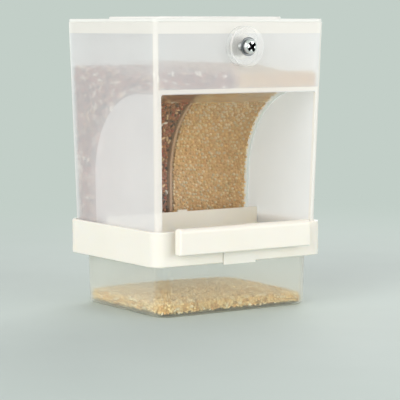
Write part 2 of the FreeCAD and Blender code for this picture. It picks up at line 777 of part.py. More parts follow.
def build_screw():
    """Pan-head screw with a crossed recess."""
    body = new_body("clamp_screw")
    tip = f"({NUT} - sizes.screw_tail)"
    shank, head = "sizes.screw_diameter / 2", "sizes.head_diameter / 2"
    crown = f"{HEAD} + sizes.head_height"
    corners = [
        ("0", tip),
        (f"{shank} - sizes.screw_point", tip),
        (shank, f"{tip} + sizes.screw_point"),
        (shank, HEAD),
        (head, HEAD),
        (head, f"{HEAD} + sizes.head_side"),
        ("sizes.head_flat / 2", crown),
        ("0", crown),
    ]
    arcs = {5: ("sizes.head_crown", True)}
    sketch = outline(body, "screw_section", "XZ_Plane", corners, arcs=arcs)
    turned = body.newObject("PartDesign::Revolution", "screw_turned")
    turned.Profile = sketch
    turned.ReferenceAxis = (sketch, ["V_Axis"])
    turned.Angle = 360
    doc.recompute()
    arm, span = "sizes.recess_width / 2", "sizes.recess_span / 2"
    cross = [(arm, arm), (span, arm), (span, f"-{arm}"), (arm, f"-{arm}"), (arm, f"-{span}"),
             (f"-{arm}", f"-{span}"), (f"-{arm}", f"-{arm}"), (f"-{span}", f"-{arm}"),
             (f"-{span}", arm), (f"-{arm}", arm), (f"-{arm}", span), (arm, span)]
    recess = outline(body, "crossed_recess", "XY_Plane", cross, crown)
    pocket(body, recess, "sizes.recess_depth")
    set_on_wall(body)
    finish(body, "clamp_screw")


def build_clamp():
    build_screw()
    build_washer("steel_washer", "sizes.steel_diameter", "sizes.steel_thickness", STEEL,
                 "(sizes.disc_edge / 2)")
    build_washer("outer_clamp_disc", "sizes.disc_diameter", "sizes.disc_thickness", DISC_OUTER,
                 "sizes.disc_edge")
    build_washer("inner_clamp_disc", "sizes.disc_diameter", "sizes.disc_thickness", DISC_INNER,
                 "sizes.disc_edge")
    build_washer("backing_washer", "sizes.backing_diameter", "sizes.backing_thickness", BACKING,
                 "(sizes.disc_edge / 2)")
    build_nut()


# Seed and husks

def build_chamber_seed():
    """Two fills that rest on the chute and run down behind it, one on each side of the divider."""
    steepness = f"({SEED_FRONT} - {SEED_DIP}) / (sizes.hopper_depth / 2 + sizes.dip_place)"
    tops = [
        (BEYOND, SEED_BACK),
        ("sizes.slope_end", SEED_BACK),
        ("sizes.dip_place", SEED_DIP),
        (f"-{BEYOND}", f"{SEED_DIP} + {steepness} * ({BEYOND} + sizes.dip_place)"),
    ]
    clear = f"({GUIDE_WIDTH} / 2 + sizes.seed_gap)"
    inset = "sizes.hopper_wall + sizes.seed_gap"
    mixed = above_chute("mixed_fill", f"-{BEYOND} / 2", f"sizes.divider_place - {clear}", "sizes.seed_gap",
                        inset, "sizes.chute_foot", tops)
    finish(mixed, "mixed_seed")
    millet = above_chute("millet_fill", f"sizes.divider_place + {clear}", f"{BEYOND} / 2", "sizes.seed_gap",
                         inset, "sizes.chute_foot", tops)
    finish(millet, "millet_seed")


def build_trough_seed():
    clear_width = hopper_width_at("sizes.deck_top", UPSTAND_INNER)
    clear_depth = hopper_depth_at("sizes.deck_top", UPSTAND_INNER)
    front = "sizes.trough_front + sizes.trough_wall + sizes.seed_gap"
    back = f"{clear_depth} / 2 - sizes.seed_gap"
    low = "sizes.deck_top + sizes.seed_gap"
    high = "sizes.chute_foot - sizes.seed_gap"
    corners = [(front, low), (back, low), (back, high), ("sizes.chute_face - sizes.chute_wall", high),
               (front, "sizes.trough_level")]
    rib = "(sizes.partition_wall / 2 + sizes.seed_gap)"
    side = f"({clear_width} / 2 - sizes.seed_gap)"
    finish(across_profile("trough_mixed_seed", corners, {}, f"-{side}", f"sizes.divider_place - {rib}"),
           "trough_mixed_seed")
    finish(across_profile("trough_millet_seed", corners, {}, f"sizes.divider_place + {rib}", side),
           "trough_millet_seed")


def build_husks():
    """Low heap on the floor of the catch box."""
    core = box_core("husk_core", "sizes.box_wall + sizes.seed_gap", "(sizes.husk_top + sizes.seed_gap)")
    mound = doc.addObject("Part::Sphere", "husk_mound")
    mound.Placement = FreeCAD.Placement(FreeCAD.Vector(), FreeCAD.Rotation(FreeCAD.Vector(1, 0, 0), 90))
    mound.setExpression("Radius", "sizes.husk_radius")
    mound.setExpression("Placement.Base.x", "sizes.husk_shift_across")
    mound.setExpression("Placement.Base.y", "sizes.husk_shift_along")
    mound.setExpression("Placement.Base.z", "sizes.husk_top - sizes.husk_radius")
    finish(combine("MultiCommon", "husk_heap", core, mound), "husk_layer")


def check_document():
    doc.recompute()
    for item in doc.Objects:
        if "Invalid" in item.State or "Error" in item.State:
            raise RuntimeError(f"{item.Name} failed: {item.State}")
    for piece in finished:
        if piece.Shape.isNull() or not piece.Shape.isValid() or piece.Shape.Volume <= 0:
            raise RuntimeError(f"{piece.Label} has no valid solid")


def export_pieces():
    os.makedirs("parts", exist_ok=True)
    for piece in finished:
        piece.Shape.exportStep(os.path.join("parts", f"{piece.Label}.step"))
        solids = len(piece.Shape.Solids)
        print(f"{piece.Label}: {solids} solid, {piece.Shape.Volume / 1000:.2f} cm3")


fill_sheet()
build_catch_box()
build_tray()
build_perch()
build_hopper()
build_divider()
build_lid()
build_clamp()
build_chamber_seed()
build_trough_seed()
build_husks()
check_document()
export_pieces()
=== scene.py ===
import math

import bmesh
import bpy
from mathutils import Matrix, Vector


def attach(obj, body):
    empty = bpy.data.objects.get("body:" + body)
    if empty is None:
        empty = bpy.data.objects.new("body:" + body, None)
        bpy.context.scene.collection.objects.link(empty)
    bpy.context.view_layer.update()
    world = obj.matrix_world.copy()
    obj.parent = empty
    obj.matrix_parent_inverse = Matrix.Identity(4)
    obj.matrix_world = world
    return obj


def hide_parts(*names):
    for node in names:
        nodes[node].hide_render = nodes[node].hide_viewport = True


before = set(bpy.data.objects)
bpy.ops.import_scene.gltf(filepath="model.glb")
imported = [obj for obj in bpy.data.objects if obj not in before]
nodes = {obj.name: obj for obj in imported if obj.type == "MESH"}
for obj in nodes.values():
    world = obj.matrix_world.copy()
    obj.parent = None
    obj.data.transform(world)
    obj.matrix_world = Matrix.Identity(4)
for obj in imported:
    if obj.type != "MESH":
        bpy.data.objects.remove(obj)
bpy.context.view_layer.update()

MM = 0.001

# Hopper: rim height, half its width and depth there, and how far its walls lean
HOPPER_RIM, HOPPER_HALF_WIDTH, HOPPER_HALF_DEPTH = 193.0 * MM, 68.1 * MM, 55.5 * MM
HOPPER_DRAFT = math.tan(math.radians(1.5))

# How far in from its outer faces its walls, its front's thick parts and its stiles reach, and where
# the thick plastic of its corners starts and is full
WALL_REACH, FRONT_REACH, STILE_REACH = 3.0 * MM, 2.6 * MM, 4.8 * MM
CORNER_REACH, CORNER_FULL = 3.4 * MM, 2.2 * MM

# Heights on it: the opening's foot, the cabin's roof, and the lid's skirt inside the rim. The cabin's
# side is a quarter circle from its centre's place in depth
OPENING_FOOT, ROOF_TOP, ROOF_THICKNESS, LID_SKIRT = 50.0 * MM, 149.2 * MM, 2.6 * MM, 185.3 * MM
CABIN_ARC_PLACE, CABIN_ARC_HEIGHT, CABIN_ARC_RADIUS, CABIN_ARC_FADE = -35.7 * MM, 87.0 * MM, 60.0 * MM, 1.0 * MM

# Chute wall: its milk from the lower to the upper of two heights, how clear it is, and its seed dust
CHUTE_LOW, CHUTE_HIGH, CHUTE_MILK, ROOF_MILK = 75.0 * MM, 130.0 * MM, 0.08, 0.17
CHUTE_CLEAR, CHUTE_DUST = 0.98, "#FBE8C8"

# Milk of the side walls beside the cabin, and thick plastic: its milk, the share of light that it
# passes, and its shade
CABIN_MILK = 0.83
THICK_MILK, THICK_THROUGH, THICK_SHADE = 0.84, 0.14, "#FBF8F1"

# Catch box: middle of its depth, half its width and depth at the floor, how far its walls lean, and
# where in from its faces its thick corners start and are full, with their share of the milk
BOX_MIDDLE, BOX_HALF_WIDTH, BOX_HALF_DEPTH = -1.8 * MM, 60.2 * MM, 48.2 * MM
BOX_DRAFT = math.tan(math.radians(1.4))
BOX_CORNER_REACH, BOX_CORNER_FULL, BOX_CORNER_SHARE = 3.0 * MM, 1.8 * MM, 0.5

# Clamp: height of its axis, the outer disc's back, rim and share of milk there, and the pad on the
# hopper's wall that the discs press on
CLAMP_HEIGHT, DISC_BACK, DISC_RIM, DISC_RIM_SHARE = 177.0 * MM, -59.0 * MM, 12.75 * MM, 0.6
PAD_RADIUS, PAD_FADE = 9.5 * MM, 1.5 * MM

# Clamp screw, from the wall outwards along its axis. The head's outline is radius and height in
# millimetres, and so are the cross recess's ends: height over the head, reach and half its arm's width
HEAD_BASE, HEAD_TOP, HEAD_OVERLAP, SHANK_END = 8.5 * MM, 12.0 * MM, 0.3 * MM, -10.6 * MM
PAN_HEAD = [(4.55, 0.0), (4.8, 0.2), (4.8, 1.7), (4.68, 2.3), (4.35, 2.8), (3.7, 3.2), (2.6, 3.43), (1.3, 3.5)]
RECESS_ENDS, RECESS_TURN = [(0.4, 4.2, 1.25), (-2.2, 1.6, 0.55)], 0.1
THREAD_RADIUS, THREAD_PITCH, THREAD_DEPTH = 2.48 * MM, 0.8 * MM, 0.42 * MM
LEAD_LENGTH, LEAD_TIP = 1.6 * MM, 0.6

# IOR of polypropylene, and the lower one at which a thin wall blurs without bending what lies behind
PLASTIC_IOR, BLUR_IOR = 1.49, 1.2

# Camera, worked out from the feeder's edges and corners in the photograph
CAMERA_PLACE = Vector((-0.6980, -1.0374, 0.1915))
CAMERA_TURN = math.radians(-34.10)
CAMERA_TILT = math.radians(84.49)
CAMERA_LENS = 164.25

# Studio: the backdrop's colour, and how far from the feeder the floor fades into it, in metres
BACKDROP = "#C3CFC8"
FADE_START, FADE_END = 0.12, 0.75

# Heaps: how densely grains are tried before their spacing thins them, how far their size varies, and
# how much deeper than the grains a heap's shaded core lies
TRIES_PER_AREA, LEAST_SIZE, MOST_SIZE, CORE_INSET_MM = 2.0 / MM ** 2, 0.85, 1.12, 0.6

# Grains: each kind is its name, length, width and height in millimetres, and its colour
MIXED_KINDS = [
    ("red_millet", 2.6, 2.3, 2.0, "#BC543A"),
    ("brown_millet", 2.5, 2.2, 2.0, "#AC6846"),
    ("golden_millet", 2.5, 2.3, 2.0, "#D08654"),
    ("red_dari", 3.0, 2.6, 2.2, "#BC6A4C"),
    ("rust_millet", 2.5, 2.2, 2.0, "#AC523C"),
    ("canary_seed", 4.2, 1.8, 1.6, "#EFCB9C"),
    ("niger_seed", 4.0, 1.6, 1.4, "#34241F"),
    ("tan_millet", 2.5, 2.3, 2.0, "#BA7C54"),
    ("dark_rape_seed", 2.1, 2.0, 2.0, "#4E2C22"),
    ("oat_groat", 4.4, 2.1, 1.8, "#FFF3E2"),
]
MILLET_KINDS = [
    ("pale_millet", 2.3, 2.1, 1.9, "#FFE8B2"),
    ("orange_millet", 2.2, 2.1, 1.9, "#FCD896"),
    ("tan_millet", 2.3, 2.0, 1.9, "#F4CC90"),
    ("cream_millet", 2.3, 2.1, 1.9, "#FFEEC6"),
]
HUSK_KINDS = [
    ("gold_husk", 3.2, 2.2, 1.1, "#FFE4AA"),
    ("cream_husk", 3.4, 2.1, 1.0, "#FFF2CE"),
    ("tan_husk", 2.9, 2.0, 1.2, "#F8D89C"),
    ("brown_husk", 3.0, 2.0, 1.2, "#E4BA80"),
    ("whole_millet", 2.3, 2.1, 1.9, "#FFE2A8"),
]


def linear(hex_colour):
    """Linear colour of an sRGB hex value."""
    parts = [int(hex_colour[place:place + 2], 16) / 255 for place in (1, 3, 5)]
    return tuple(c / 12.92 if c <= 0.04045 else ((c + 0.055) / 1.055) ** 2.4 for c in parts) + (1.0,)


def add_node(tree, kind, inputs=None, **settings):
    """Adds a node. An input given as a socket, or as a node for its first output, is linked, and any
    other value is set."""
    node = tree.nodes.new(kind)
    for name, value in settings.items():
        setattr(node, name, value)
    for key, value in (inputs or {}).items():
        if isinstance(value, bpy.types.Node):
            value = value.outputs[0]
        if isinstance(value, bpy.types.NodeSocket):
            tree.links.new(value, node.inputs[key])
        else:
            node.inputs[key].default_value = value
    return node


# Materials

def new_material(name):
    """Empty material, its node tree, and places on the piece."""
    material = bpy.data.materials.new(name)
    material.use_nodes = True
    tree = material.node_tree
    tree.nodes.clear()
    return material, tree, add_node(tree, "ShaderNodeTexCoord").outputs["Object"]


def two_shades(tree, pattern, low, high):
    """Colour that runs from one shade to the other as a pattern rises through its middle values."""
    share = add_node(tree, "ShaderNodeMapRange", {"Value": pattern, "From Min": 0.3, "From Max": 0.7})
    return add_node(tree, "ShaderNodeMixRGB", {"Fac": share, "Color1": linear(low), "Color2": linear(high)})


def wall_places(tree, place, middle, level, draft):
    """How far out a point lies across and along the piece, read as if its leaning walls stood upright
    from their size at this level."""
    height = add_node(tree, "ShaderNodeSeparateXYZ", {"Vector": place}).outputs["Z"]
    lean = add_node(tree, "ShaderNodeMath", {0: height, 1: -draft, 2: level * draft}, operation="MULTIPLY_ADD")
    centred = add_node(tree, "ShaderNodeVectorMath", {0: place, 1: (0.0, middle, 0.0)}, operation="SUBTRACT")
    out = add_node(tree, "ShaderNodeVectorMath", {0: centred}, operation="ABSOLUTE")
    upright = add_node(tree, "ShaderNodeVectorMath", {0: out, 1: lean}, operation="ADD")
    return add_node(tree, "ShaderNodeSeparateXYZ", {"Vector": upright}).outputs[:2]


def corner_share(tree, places, half_sizes, reach, full, most=1.0):
    """Share that rises to its most down the upright corners, where two walls meet."""
    share = most
    for value, half in zip(places, half_sizes):
        wall = add_node(tree, "ShaderNodeMapRange", {
            "Value": value, "From Min": half - reach, "From Max": half - full,
        }, interpolation_type="SMOOTHSTEP")
        share = add_node(tree, "ShaderNodeMath", {0: share, 1: wall}, operation="MULTIPLY")
    return share


def share_where(tree, limits, share=1.0):
    """Share that is kept where every limit holds, and is 0 elsewhere."""
    for value, side, limit in limits:
        holds = add_node(tree, "ShaderNodeMath", {0: value, 1: limit}, operation=side)
        share = add_node(tree, "ShaderNodeMath", {0: share, 1: holds}, operation="MULTIPLY")
    return share


def distance(tree, place, axes, centre, quarter=False):
    """How far a point is from a centre, measured on some axes only. For a quarter circle, a point
    that lies before the centre on an axis counts as level with it."""
    away = add_node(tree, "ShaderNodeVectorMath", {0: place, 1: axes, 2: -Vector(centre)},
                    operation="MULTIPLY_ADD")
    if quarter:
        away = add_node(tree, "ShaderNodeVectorMath", {0: away, 1: (0.0, 0.0, 0.0)}, operation="MAXIMUM")
    return add_node(tree, "ShaderNodeVectorMath", {0: away}, operation="LENGTH").outputs["Value"]


def clamp_distance(tree, place):
    """How far a point is from the clamp screw's axis, seen from the front."""
    return distance(tree, place, (1.0, 0.0, 1.0), (0.0, 0.0, CLAMP_HEIGHT))


def hopper_regions(tree, place):
    """Where the hopper is chute wall (1), the milk there, where its plastic is thick or doubled (1),
    and the milk of its side walls beside the cabin, which are frosted on both faces. It is thick down
    its corners, beside the opening, along the front of the cabin's roof, in front of the lid's skirt
    and around the screw."""
    _, y, z = add_node(tree, "ShaderNodeSeparateXYZ", {"Vector": place}).outputs
    across, along = places = wall_places(tree, place, 0.0, HOPPER_RIM, HOPPER_DRAFT)
    chute = share_where(tree, [(across, "LESS_THAN", HOPPER_HALF_WIDTH - WALL_REACH),
                               (along, "LESS_THAN", HOPPER_HALF_DEPTH - WALL_REACH)])
    chute_milk = add_node(tree, "ShaderNodeMapRange", {
        "Value": z, "From Min": CHUTE_LOW, "From Max": CHUTE_HIGH, "To Min": CHUTE_MILK, "To Max": ROOF_MILK,
    }, interpolation_type="SMOOTHSTEP")
    front = [(y, "LESS_THAN", 0.0), (along, "GREATER_THAN", HOPPER_HALF_DEPTH - FRONT_REACH)]
    stile = [(across, "GREATER_THAN", HOPPER_HALF_WIDTH - STILE_REACH),
             (z, "GREATER_THAN", OPENING_FOOT), (z, "LESS_THAN", ROOF_TOP)]
    roof_front = [(z, "GREATER_THAN", ROOF_TOP - ROOF_THICKNESS), (z, "LESS_THAN", ROOF_TOP)]
    pad = add_node(tree, "ShaderNodeMapRange", {
        "Value": clamp_distance(tree, place), "From Min": PAD_RADIUS, "From Max": PAD_RADIUS - PAD_FADE,
    }, interpolation_type="SMOOTHSTEP")
    thick = corner_share(tree, places, (HOPPER_HALF_WIDTH, HOPPER_HALF_DEPTH), CORNER_REACH, CORNER_FULL)
    for share in (share_where(tree, front + stile), share_where(tree, front + roof_front),
                  share_where(tree, front, pad), share_where(tree, [(z, "GREATER_THAN", LID_SKIRT)])):
        thick = add_node(tree, "ShaderNodeMath", {0: thick, 1: share}, operation="MAXIMUM")
    arc = distance(tree, place, (0.0, 1.0, 1.0), (0.0, CABIN_ARC_PLACE, CABIN_ARC_HEIGHT), quarter=True)
    cabin = add_node(tree, "ShaderNodeMapRange", {
        "Value": arc, "To Max": CABIN_MILK,
        "From Min": CABIN_ARC_RADIUS + CABIN_ARC_FADE, "From Max": CABIN_ARC_RADIUS - CABIN_ARC_FADE,
    }, interpolation_type="SMOOTHSTEP")
    frost = share_where(tree, [(across, "GREATER_THAN", HOPPER_HALF_WIDTH - WALL_REACH)], cabin)
    return chute, chute_milk, thick, frost


def box_regions(tree, place):
    """The catch box's corners, where its plastic is thickest."""
    places = wall_places(tree, place, BOX_MIDDLE, 0.0, BOX_DRAFT)
    thick = corner_share(tree, places, (BOX_HALF_WIDTH, BOX_HALF_DEPTH),
                         BOX_CORNER_REACH, BOX_CORNER_FULL, BOX_CORNER_SHARE)
    return 0.0, 0.0, thick, 0.0


def disc_regions(tree, place):
    """The outer clamp disc's rim, whose moulded edge gathers the light."""
    y = add_node(tree, "ShaderNodeSeparateXYZ", {"Vector": place}).outputs["Y"]
    rim = share_where(tree, [(clamp_distance(tree, place), "GREATER_THAN", DISC_RIM),
                             (y, "LESS_THAN", DISC_BACK)], DISC_RIM_SHARE)
    return 0.0, 0.0, rim, 0.0


def natural_polypropylene(name, low, high, milk, edge_milk, through, clear, blur_roughness, gloss_roughness,
                          regions=None):
    """Polypropylene without pigment, clear to milky by how far its resin is clarified and its mould
    polished. Its milk, which deepens where a wall is seen edge on, glows with the light that it
    scatters, and through is the share of that which passes the wall. The rest shows what touches the
    wall and blurs what lies deeper, and clear is the share that isn't blurred. Seed dust clings to a
    chute wall. Each wall scatters once, at the side where light comes in, and lets it go at the
    other side. Its shade drifts as the melt flowed, and the mould's texture is drawn coarser than it
    is, to show."""
    material, tree, place = new_material(name)
    flow = add_node(tree, "ShaderNodeTexNoise", {"Vector": place, "Scale": 1 / (38.0 * MM)})
    texture = add_node(tree, "ShaderNodeTexNoise", {"Vector": place, "Scale": 1 / (0.9 * MM), "Detail": 1.0})
    colour = two_shades(tree, flow, low, high)
    facing = add_node(tree, "ShaderNodeLayerWeight", {"Blend": 0.35}).outputs["Facing"]
    haze = add_node(tree, "ShaderNodeMapRange", {"Value": facing, "To Min": milk, "To Max": edge_milk})
    passed, crisp = through, clear
    if regions:
        chute, chute_milk, thick, frost = regions(tree, place)
        dusty = add_node(tree, "ShaderNodeMixRGB",
                         {"Fac": chute, "Color1": colour, "Color2": linear(CHUTE_DUST)})
        colour = add_node(tree, "ShaderNodeMixRGB",
                          {"Fac": thick, "Color1": dusty, "Color2": linear(THICK_SHADE)})
        haze = add_node(tree, "ShaderNodeMapRange", {"Value": chute, "To Min": haze, "To Max": chute_milk})
        thick_milk = add_node(tree, "ShaderNodeMath", {0: thick, 1: THICK_MILK}, operation="MULTIPLY")
        for least in (frost, thick_milk):
            haze = add_node(tree, "ShaderNodeMath", {0: haze, 1: least}, operation="MAXIMUM")
        passed = add_node(tree, "ShaderNodeMapRange",
                          {"Value": thick, "To Min": through, "To Max": THICK_THROUGH})
        crisp = add_node(tree, "ShaderNodeMapRange", {"Value": chute, "To Min": clear, "To Max": CHUTE_CLEAR})
    relief = add_node(tree, "ShaderNodeBump", {"Height": texture, "Strength": 0.2, "Distance": 0.05 * MM})
    satin = add_node(tree, "ShaderNodeBsdfDiffuse", {"Color": colour, "Normal": relief})
    glow = add_node(tree, "ShaderNodeBsdfTranslucent", {"Color": colour})
    body = add_node(tree, "ShaderNodeMixShader", {"Fac": passed, 1: satin, 2: glow})
    blur = add_node(tree, "ShaderNodeBsdfPrincipled", {
        "Base Color": colour, "Transmission Weight": 1.0, "Roughness": blur_roughness, "IOR": BLUR_IOR,
    })
    beyond = add_node(tree, "ShaderNodeBsdfTransparent")
    rest = add_node(tree, "ShaderNodeMixShader", {"Fac": crisp, 1: blur, 2: beyond})
    wall = add_node(tree, "ShaderNodeMixShader", {"Fac": haze, 1: rest, 2: body})
    mirror = add_node(tree, "ShaderNodeFresnel", {"IOR": PLASTIC_IOR})
    gloss = add_node(tree, "ShaderNodeBsdfGlossy", {"Roughness": gloss_roughness})
    skin = add_node(tree, "ShaderNodeMixShader", {"Fac": mirror, 1: wall, 2: gloss})
    inner_side = add_node(tree, "ShaderNodeNewGeometry").outputs["Backfacing"]
    both = add_node(tree, "ShaderNodeMixShader", {"Fac": inner_side, 1: skin, 2: beyond})
    add_node(tree, "ShaderNodeOutputMaterial", {"Surface": both})
    return material


def opaque_polypropylene(name, low, high):
    """Pigmented polypropylene, moulded satin. Thin walls let a little light glow through. The mould's
    texture is drawn coarser than it is, to show."""
    material, tree, place = new_material(name)
    flow = add_node(tree, "ShaderNodeTexNoise", {"Vector": place, "Scale": 1 / (45.0 * MM)})
    texture = add_node(tree, "ShaderNodeTexNoise", {"Vector": place, "Scale": 1 / (0.8 * MM), "Detail": 1.0})
    relief = add_node(tree, "ShaderNodeBump", {"Height": texture, "Strength": 0.12, "Distance": 0.03 * MM})
    shader = add_node(tree, "ShaderNodeBsdfPrincipled", {
        "Base Color": two_shades(tree, flow, low, high),
        "Roughness": 0.34,
        "IOR": PLASTIC_IOR,
        "Subsurface Weight": 0.35,
        "Subsurface Scale": 2.5 * MM,
        "Subsurface Radius": (1.0, 0.85, 0.65),
        "Normal": relief,
    })
    add_node(tree, "ShaderNodeOutputMaterial", {"Surface": shader})
    return material


def plated_steel(name, colour, roughness, scratch_mm):
    """Zinc or nickel plated steel, turned and tumbled: bright, with fine marks, which are drawn coarser than
    they are, to show. A dark colour given to it is painted shade, not the plating's own colour."""
    material, tree, place = new_material(name)
    marks = add_node(tree, "ShaderNodeTexNoise",
                     {"Vector": place, "Scale": 1 / (scratch_mm * MM), "Detail": 4.0})
    worn = add_node(tree, "ShaderNodeMapRange",
                    {"Value": marks, "To Min": roughness * 0.7, "To Max": roughness * 1.4})
    relief = add_node(tree, "ShaderNodeBump", {"Height": marks, "Strength": 0.1, "Distance": 0.02 * MM})
    shader = add_node(tree, "ShaderNodeBsdfPrincipled", {
        "Base Color": linear(colour), "Metallic": 1.0, "Roughness": worn, "Normal": relief,
    })
    add_node(tree, "ShaderNodeOutputMaterial", {"Surface": shader})
    return material


def white_coat(name, low, high):
    """Steel under a white powder coat, matt, with the coat's faint orange peel."""
    material, tree, place = new_material(name)
    peel = add_node(tree, "ShaderNodeTexNoise", {"Vector": place, "Scale": 1 / (1.2 * MM)})
    relief = add_node(tree, "ShaderNodeBump", {"Height": peel, "Strength": 0.2, "Distance": 0.05 * MM})
    shader = add_node(tree, "ShaderNodeBsdfPrincipled", {
        "Base Color": two_shades(tree, peel, low, high), "Roughness": 0.5, "Normal": relief,
    })
    add_node(tree, "ShaderNodeOutputMaterial", {"Surface": shader})
    return material


def dry_seed(name, kinds):
    """Dry seed with a dull, slightly waxy coat. Each grain has the colour of its kind and a shade of
    its own."""
    material, tree, place = new_material(name)
    kind = add_node(tree, "ShaderNodeAttribute", attribute_name="grain_kind")
    shade = add_node(tree, "ShaderNodeAttribute", attribute_name="grain_shade")
    ramp = add_node(tree, "ShaderNodeValToRGB", {"Fac": kind.outputs["Fac"]})
    ramp.color_ramp.interpolation = "CONSTANT"
    ramp.color_ramp.elements[1].position = 1 / len(kinds)
    for step, (_, _, _, _, colour) in enumerate(kinds):
        if step > 1:
            ramp.color_ramp.elements.new(step / len(kinds))
        ramp.color_ramp.elements[step].color = linear(colour)
    light = add_node(tree, "ShaderNodeMapRange",
                     {"Value": shade.outputs["Fac"], "To Min": 0.76, "To Max": 1.06})
    tone = add_node(tree, "ShaderNodeHueSaturation", {"Color": ramp, "Value": light})
    mottle = add_node(tree, "ShaderNodeTexNoise", {"Vector": place, "Scale": 1 / (1.1 * MM)})
    relief = add_node(tree, "ShaderNodeBump", {"Height": mottle, "Strength": 0.4, "Distance": 0.12 * MM})
    shader = add_node(tree, "ShaderNodeBsdfPrincipled", {
        "Base Color": tone, "Roughness": 0.55, "Normal": relief,
    })
    add_node(tree, "ShaderNodeOutputMaterial", {"Surface": shader})
    return material


def seed_depths(name, low, high, size_mm):
    """The shaded seed deeper in the heap, seen between the outer grains."""
    material, tree, place = new_material(name)
    cells = add_node(tree, "ShaderNodeTexVoronoi", {"Vector": place, "Scale": 1 / (size_mm * MM)})
    relief = add_node(tree, "ShaderNodeBump",
                      {"Height": cells.outputs["Distance"], "Strength": 0.8, "Distance": 0.6 * MM})
    shader = add_node(tree, "ShaderNodeBsdfPrincipled", {
        "Base Color": two_shades(tree, cells.outputs["Color"], low, high), "Roughness": 0.7, "Normal": relief,
    })
    add_node(tree, "ShaderNodeOutputMaterial", {"Surface": shader})
    return material


# Shapes

def add_object(name, data):
    piece = bpy.data.objects.new(name, data)
    bpy.context.scene.collection.objects.link(piece)
    return piece


def welded_mesh(node_name):
    """Copy of a CAD node's mesh with its corners merged."""
    mesh = nodes[node_name].data.copy()
    work = bmesh.new()
    work.from_mesh(mesh)
    bmesh.ops.remove_doubles(work, verts=work.verts, dist=0.002 * MM)
    work.to_mesh(mesh)
    work.free()
    mesh.materials.clear()
    return mesh


def evaluated_mesh(piece):
    """Plain mesh of a piece with its modifiers applied."""
    graph = bpy.context.evaluated_depsgraph_get()
    return bpy.data.meshes.new_from_object(piece.evaluated_get(graph), depsgraph=graph)


def grain_tree(name, kinds, material):
    """Geometry nodes that cover a heap's surface with grains lying along it."""
    tree = bpy.data.node_groups.new(name, "GeometryNodeTree")
    tree.interface.new_socket("Geometry", in_out="INPUT", socket_type="NodeSocketGeometry")
    for socket, kind in (("Spacing", "NodeSocketFloat"), ("Depth", "NodeSocketFloat"),
                         ("Tumble", "NodeSocketFloat"), ("Seed", "NodeSocketInt")):
        tree.interface.new_socket(socket, in_out="INPUT", socket_type=kind)
    tree.interface.new_socket("Geometry", in_out="OUTPUT", socket_type="NodeSocketGeometry")
    given = add_node(tree, "NodeGroupInput").outputs
    normal = add_node(tree, "GeometryNodeInputNormal").outputs["Normal"]
    inward = add_node(tree, "ShaderNodeMath", {0: given["Depth"], 1: -1.0}, operation="MULTIPLY")
    shift = add_node(tree, "ShaderNodeVectorMath", {0: normal, "Scale": inward}, operation="SCALE")
    sunk = add_node(tree, "GeometryNodeSetPosition", {"Geometry": given["Geometry"], "Offset": shift})
    spread = add_node(tree, "GeometryNodeDistributePointsOnFaces", {
        "Mesh": sunk,
        "Distance Min": given["Spacing"],
        "Density Max": TRIES_PER_AREA,
        "Seed": given["Seed"],
    }, distribute_method="POISSON")
    points = spread.outputs["Points"]
    for place, attribute in enumerate(("grain_kind", "grain_shade"), start=1):
        chance = add_node(tree, "FunctionNodeRandomValue", {"Seed": place})
        stored = add_node(tree, "GeometryNodeStoreNamedAttribute", {
            "Geometry": points, "Name": attribute, "Value": chance.outputs[1],
        })
        points = stored.outputs["Geometry"]
    kind = add_node(tree, "GeometryNodeInputNamedAttribute", {"Name": "grain_kind"}).outputs["Attribute"]
    scaled = add_node(tree, "ShaderNodeMath", {0: kind, 1: float(len(kinds))}, operation="MULTIPLY")
    index = add_node(tree, "ShaderNodeMath", {0: scaled}, operation="FLOOR")
    back = add_node(tree, "ShaderNodeMath", {0: given["Tumble"], 1: -1.0}, operation="MULTIPLY")
    least = add_node(tree, "ShaderNodeCombineXYZ", {"X": back, "Y": back})
    most = add_node(tree, "ShaderNodeCombineXYZ", {"X": given["Tumble"], "Y": given["Tumble"], "Z": math.tau})
    lean = add_node(tree, "FunctionNodeRandomValue", {
        "Min": least, "Max": most, "Seed": 3,
    }, data_type="FLOAT_VECTOR")
    tilt = add_node(tree, "FunctionNodeEulerToRotation", {"Euler": lean})
    turn = add_node(tree, "FunctionNodeRotateRotation", {
        "Rotation": spread.outputs["Rotation"], "Rotate By": tilt,
    }, rotation_space="LOCAL")
    size = add_node(tree, "FunctionNodeRandomValue", {2: LEAST_SIZE, 3: MOST_SIZE, "Seed": 4})
    joined = add_node(tree, "GeometryNodeJoinGeometry")
    for place, (_, length, width, height, _) in enumerate(kinds):
        ball = add_node(tree, "GeometryNodeMeshUVSphere", {"Segments": 6, "Rings": 4, "Radius": 0.5})
        grain = add_node(tree, "GeometryNodeTransform", {
            "Geometry": ball, "Scale": (length * MM, width * MM, height * MM),
        })
        smooth = add_node(tree, "GeometryNodeSetShadeSmooth", {"Geometry": grain})
        this = add_node(tree, "FunctionNodeCompare", {0: index, 1: float(place), "Epsilon": 0.5},
                        data_type="FLOAT", operation="EQUAL")
        laid = add_node(tree, "GeometryNodeInstanceOnPoints", {
            "Points": points,
            "Selection": this,
            "Instance": smooth,
            "Rotation": turn,
            "Scale": size.outputs[1],
        })
        tree.links.new(laid.outputs["Instances"], joined.inputs["Geometry"])
    real = add_node(tree, "GeometryNodeRealizeInstances", {"Geometry": joined})
    dressed = add_node(tree, "GeometryNodeSetMaterial", {"Geometry": real, "Material": material})
    add_node(tree, "NodeGroupOutput", {"Geometry": dressed})
    return tree


def set_inputs(modifier, values):
    for item in modifier.node_group.interface.items_tree:
        if item.item_type == "SOCKET" and item.in_out == "INPUT" and item.name in values:
            modifier[item.identifier] = values[item.name]


